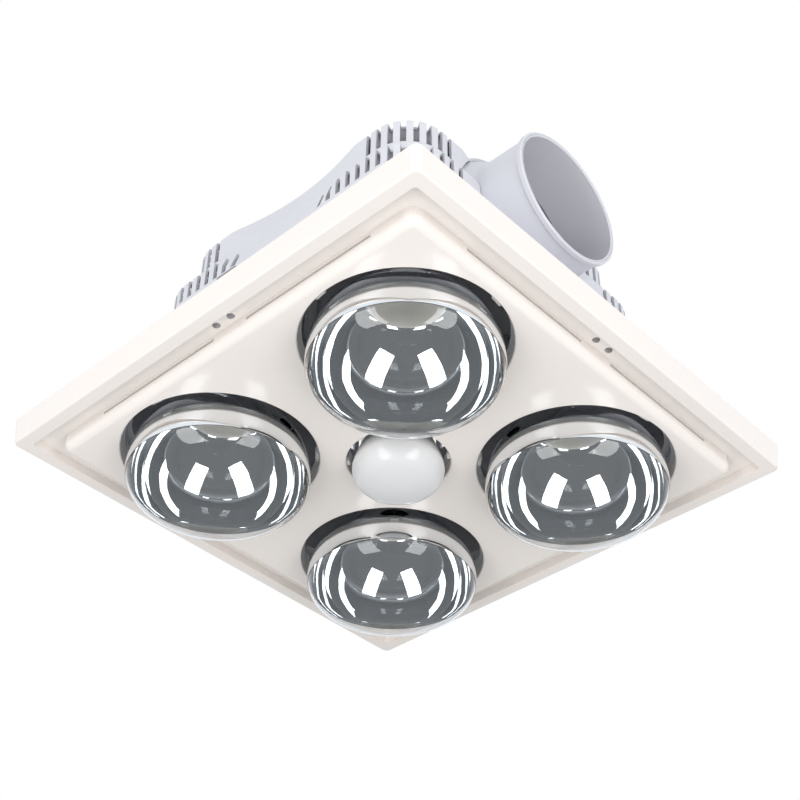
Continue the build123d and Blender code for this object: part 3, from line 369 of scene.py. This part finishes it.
# The bowl is a quarter of an ellipse: radius = widest * sqrt(1 - (height above the widest line / depth)^2).
widest_r = 62.0
widest_z = -41.1
neck_z = 12.0
bowl_depth = 58.5
bowl_z = np.linspace(widest_z, neck_z, 44, endpoint=False)
bowl = np.stack([widest_r * np.sqrt(1 - ((bowl_z - widest_z) / bowl_depth) ** 2), bowl_z], 1)
heat_outline = np.concatenate([
    arc((0, -66.0), (25.2, -64.0), (49.5, -58.24), 26),
    arc((49.5, -58.24), (58.5, -51.7), (widest_r, widest_z), 16),
    bowl,
    arc((26.0, neck_z), (20.0, 40.0), (17.0, 76.0), 18),
    straight_run((17.0, 76.0), (16.8, 82.0), 3),
    straight_run((16.8, 82.0), (12.4, 87.0), 4),
    [(12.4, 90.5)]])
heat_profile = hollow(heat_outline, glass_wall)

silver, tree, shader = finish("lamp_silver", {"Roughness": 0.03, "Metallic": 1.0})
place = shader_node(tree, "ShaderNodeTexCoord")
blown = shader_node(tree, "ShaderNodeTexNoise", {"Vector": place.outputs["Object"], "Scale": 55.0,
                                                 "Detail": 2.0})
two_tones(tree, shader, (0.80, 0.82, 0.84), (0.88, 0.90, 0.91), blown.outputs["Fac"])
wave = shader_node(tree, "ShaderNodeBump", {"Height": blown.outputs["Fac"], "Strength": 0.25,
                                            "Distance": 0.0004})
tree.links.new(wave.outputs["Normal"], shader.inputs["Normal"])


def clear_glass(name, tint, rough):
    """Clear glass with a slight wave; shadow rays pass, so that what is behind stays lit."""
    made, tree, shader = finish(name, {"Roughness": rough, "IOR": 1.5, "Transmission Weight": 1.0})
    place = shader_node(tree, "ShaderNodeTexCoord")
    wave = shader_node(tree, "ShaderNodeTexNoise", {"Vector": place.outputs["Object"], "Scale": 40.0,
                                                    "Detail": 2.0})
    two_tones(tree, shader, tint, (1.0, 1.0, 1.0), wave.outputs["Fac"])
    bump = shader_node(tree, "ShaderNodeBump", {"Height": wave.outputs["Fac"], "Strength": 0.15,
                                                "Distance": 0.0003})
    tree.links.new(bump.outputs["Normal"], shader.inputs["Normal"])
    rays = shader_node(tree, "ShaderNodeLightPath")
    passing = shader_node(tree, "ShaderNodeBsdfTransparent", {"Color": (0.93, 0.94, 0.94, 1)})
    mixed = shader_node(tree, "ShaderNodeMixShader", {0: rays.outputs["Is Shadow Ray"],
                                                      1: shader.outputs[0], 2: passing.outputs[0]})
    tree.links.new(mixed.outputs[0], tree.nodes["Material Output"].inputs["Surface"])
    return made


front_glass = clear_glass("lamp_front_glass", (0.97, 0.985, 0.985), 0.0)
neck_start = 13.0
# Painted reflection: the neck's pale beige stands in for the bright surroundings that the mirror bowl
# reflects at its neck.
neck_painted_reflection = plastic("lamp_neck_painted_reflection", (0.78, 0.76, 0.72), (0.84, 0.82, 0.78), 0.3, 300.0, 0.1,
                    **{"Metallic": 0.35})
for name, (sx, sy) in lamp_names.items():
    grid = lathe(heat_profile, (sx * lamp_pitch, sy * lamp_pitch), 96)
    middle = (heat_profile[:-1, 1] + heat_profile[1:, 1]) / 2
    # Above neck_start the bulb takes the pale painted reflection in place of silver.
    coat = np.where(middle > neck_start, 2, np.where(middle > silver_edge, 1, 0))
    bulb = grid_piece("bulb_" + name, [(grid, coat)], [front_glass, silver, neck_painted_reflection])
    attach(bulb, "heat_lamp_" + name)
    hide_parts("heat_lamp_glass_" + name)

# The centre lamp. A smaller reflector bulb of the same blown shape, frosted white all over.
spot_outline = np.concatenate([
    arc((0, -46.4), (10.7, -45.67), (21.2, -43.47), 16),
    arc((21.2, -43.47), (28.6, -38.4), (31.4, -30.0), 14),
    arc((31.4, -30.0), (31.19, -27.6), (30.56, -25.2), 5),
    arc((30.56, -25.2), (26.0, -12.5), (19.6, 0.0), 14),
    arc((19.6, 0.0), (15.6, 9.5), (14.2, 20.0), 12),
    straight_run((14.2, 20.0), (14.2, 25.0), 3),
    straight_run((14.2, 25.0), (12.4, 29.0), 3),
    [(12.4, 32.5)]])
frosted = plastic("frosted_glass", (0.70, 0.705, 0.71), (0.75, 0.755, 0.76), 0.42, 400.0, 0.1,
                  **{"Coat Weight": 0.8, "Coat Roughness": 0.06})
spot_bulb = grid_piece("bulb_spot", [(lathe(hollow(spot_outline, glass_wall), (0, 0), 80), 0)], [frosted])
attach(spot_bulb, "spot_lamp")
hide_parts("spot_lamp_glass")

# Lamp caps. Thin brass shells with a rolled screw thread, crimped on the neck, then black insulating
# glass and a soldered contact at the tip.
cap_brass = metal("cap_brass", (0.66, 0.58, 0.40), (0.76, 0.68, 0.50), 0.25, (300.0, 300.0, 80.0))
cap_black = plastic("cap_glass", (0.015, 0.015, 0.02), (0.03, 0.03, 0.04), 0.12, 300.0, 0.1)
cap_solder = metal("cap_solder", (0.55, 0.55, 0.56), (0.66, 0.66, 0.67), 0.35, (300.0, 300.0, 300.0))
thread_pitch = 3.6
thread_depth = 0.4
cap_r = 13.2
cap_columns = 72
wall_rows = 90


def screw_cap(name, node, body, centre, low, high, tip):
    """The cap's profile turned about its axis, its wall waved by a cosine that climbs one pitch a turn."""
    rise = np.linspace(low + 0.6, high - 1.5, wall_rows)
    wall = np.stack([np.full(wall_rows, cap_r), rise], 1)
    profile = np.concatenate([[(0, high - 3.2), (12.5, high - 3.2), (12.5, low), (12.8, low)], wall, arc(
        (12.9, high - 1.2), (12.2, high), (10.5, high + 0.6), 8), [
        (9.4, high + 0.9), (6.5, tip - 1.5), (4.6, tip - 1.3), (4.5, tip - 0.4), (3.2, tip), (0, tip)]])
    grid = lathe(profile, centre, cap_columns)
    turn = np.linspace(0, 2 * np.pi, cap_columns, endpoint=False)
    inside = np.clip(np.minimum(rise - low - 2.5, high - 3.0 - rise) / 2.0, 0, 1)[:, None]
    wave = 0.5 - 0.5 * np.cos(2 * np.pi * rise[:, None] / thread_pitch - turn)
    shrink = 1 - inside * wave * thread_depth / cap_r
    rows = slice(4, 4 + wall_rows)
    grid[rows, :, 0] = centre[0] + (grid[rows, :, 0] - centre[0]) * shrink
    grid[rows, :, 1] = centre[1] + (grid[rows, :, 1] - centre[1]) * shrink
    finishes = np.zeros(len(profile) - 1, int)
    finishes[-6:-4] = 1
    finishes[-4:] = 2
    cap = grid_piece(name, [(grid, finishes)], [cap_brass, cap_black, cap_solder])
    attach(cap, body)
    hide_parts(node)


for name, (sx, sy) in lamp_names.items():
    screw_cap("cap_" + name, "heat_lamp_cap_" + name, "heat_lamp_" + name,
              (sx * lamp_pitch, sy * lamp_pitch), 88.0, 112.0, 117.0)
screw_cap("cap_spot", "spot_lamp_cap", "spot_lamp", (0, 0), 30.0, 54.0, 58.0)

# Filament mounts. A flared glass stem pinched round two nickel leads that carry the coiled tungsten
# filament, sealed into the neck of each bulb.
stem_glass = clear_glass("stem_glass", (0.93, 0.95, 0.94), 0.05)
lead_wire = metal("lead_wire", (0.50, 0.48, 0.45), (0.62, 0.60, 0.56), 0.3, (300.0, 300.0, 80.0))
tungsten = metal("tungsten", (0.42, 0.30, 0.22), (0.58, 0.42, 0.30), 0.4, (900.0, 900.0, 900.0))
lead_r = 0.55
coil_r = 0.92
coil_wire_r = 0.35


def tube(path, radius, sides, across):
    """A round wire along a path; across is a direction that the path never runs in."""
    step = np.gradient(path, axis=0)
    step /= np.linalg.norm(step, axis=1, keepdims=True)
    side = np.cross(step, across)
    side /= np.linalg.norm(side, axis=1, keepdims=True)
    other = np.cross(side, step)
    turn = np.linspace(0, 2 * np.pi, sides, endpoint=False)[:, None]
    ring = path[:, None] + radius * (np.cos(turn) * side[:, None] + np.sin(turn) * other[:, None])
    ends = [np.broadcast_to(path[k], (1, sides, 3)) for k in (0, -1)]
    return np.concatenate([ends[0], ring, ends[1]])


def filament_mount(name, node, body, centre, angle, seat, waist, level, spread, turns):
    """Stem, leads and coil drawn on the lamp's own axis, then turned by angle and moved to centre.
    The stem is a turned flare flattened towards its pinch; the coil is a helix about a level line."""
    stem = np.concatenate([arc((9.5, seat), (5.2, seat - 7), (3.6, seat - 16), 14)[::-1],
                           [(3.6, waist + 6), (3.4, waist + 1), (2.4, waist), (0, waist)]])
    stem = np.concatenate([[(0, seat)], stem])
    flat = lathe(stem, (0, 0), 40)
    pinch = np.clip((waist + 14 - flat[..., 2]) / 8, 0, 1)
    flat[..., 1] *= 1 - 0.55 * pinch
    grids = [(flat, 0)]
    for sign in (-1, 1):
        knots = np.array([(1.6, 0, waist + 3), (2.2, 0, waist - 4), (spread, 0, level)]) * (sign, 1, 1)
        share = np.linspace(0, 2, 25)[:, None]
        first = knots[0] + (knots[1] - knots[0]) * np.minimum(share, 1)
        path = first + (knots[2] - knots[1]) * np.maximum(share - 1, 0)
        grids.append((tube(path, lead_r, 10, (0, 1, 0)), 1))
    along = np.linspace(-spread, spread, 16 * turns + 1)
    spin = 2 * np.pi * turns * (along + spread) / (2 * spread)
    coil = np.stack([along * (1 - coil_wire_r / spread), coil_r * np.cos(spin),
                     level + coil_r * np.sin(spin)], 1)
    grids.append((tube(coil, coil_wire_r, 8, (1, 0, 0)), 2))
    cos, sin = np.cos(angle), np.sin(angle)
    turned = []
    for xyz, finish_number in grids:
        x, y, z = xyz[..., 0], xyz[..., 1], xyz[..., 2]
        turned.append((np.stack([centre[0] + cos * x - sin * y, centre[1] + sin * x + cos * y, z], -1),
                       finish_number))
    mount = grid_piece(name, turned, [stem_glass, lead_wire, tungsten])
    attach(mount, body)
    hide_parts(node)


for name, (sx, sy) in lamp_names.items():
    filament_mount("mount_" + name, "heat_lamp_filament_" + name, "heat_lamp_" + name,
                   (sx * lamp_pitch, sy * lamp_pitch), np.arctan2(sy, sx), 86.0, 50.0, 22.0, 9.0, 14)
filament_mount("mount_spot", "spot_lamp_filament", "spot_lamp", (0, 0), 0.0, 28.0, 6.0, -8.0, 7.0, 12)

# Lamp guides. Three pale heat-proof tabs stand on each collar and keep the bulb in the middle of its
# opening. Each is a five-sided section swept a few degrees round the lamp's axis.
guide_angles = (-54, 54, 180)
guide_half_angle = 0.055
guide_steps = 9
guide_section = np.array([(64.2, -15.6), (66.9, -15.6), (66.9, -21.0), (65.6, -22.4), (64.2, -21.0)])
guide_white = plastic("guide_ceramic", (0.66, 0.67, 0.66), (0.74, 0.75, 0.74), 0.35, 600.0, 0.1)
for name, (sx, sy) in lamp_names.items():
    guides = []
    for offset in guide_angles:
        middle = np.arctan2(sy, sx) + np.radians(offset)
        spread = np.linspace(-guide_half_angle, guide_half_angle, guide_steps)
        corner = np.stack([sx * lamp_pitch + guide_section[:, 0] * np.cos(middle + spread)[:, None],
                           sy * lamp_pitch + guide_section[:, 0] * np.sin(middle + spread)[:, None],
                           np.broadcast_to(guide_section[:, 1], (guide_steps, 5))], -1)
        ends = [np.broadcast_to(corner[k].mean(0), (1, 5, 3)) for k in (0, -1)]
        guides.append((np.concatenate([ends[0], corner, ends[1]]), 0))
    guide = grid_piece("guides_" + name, guides, [guide_white])
    guide.data.shade_flat()
    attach(guide, "body")
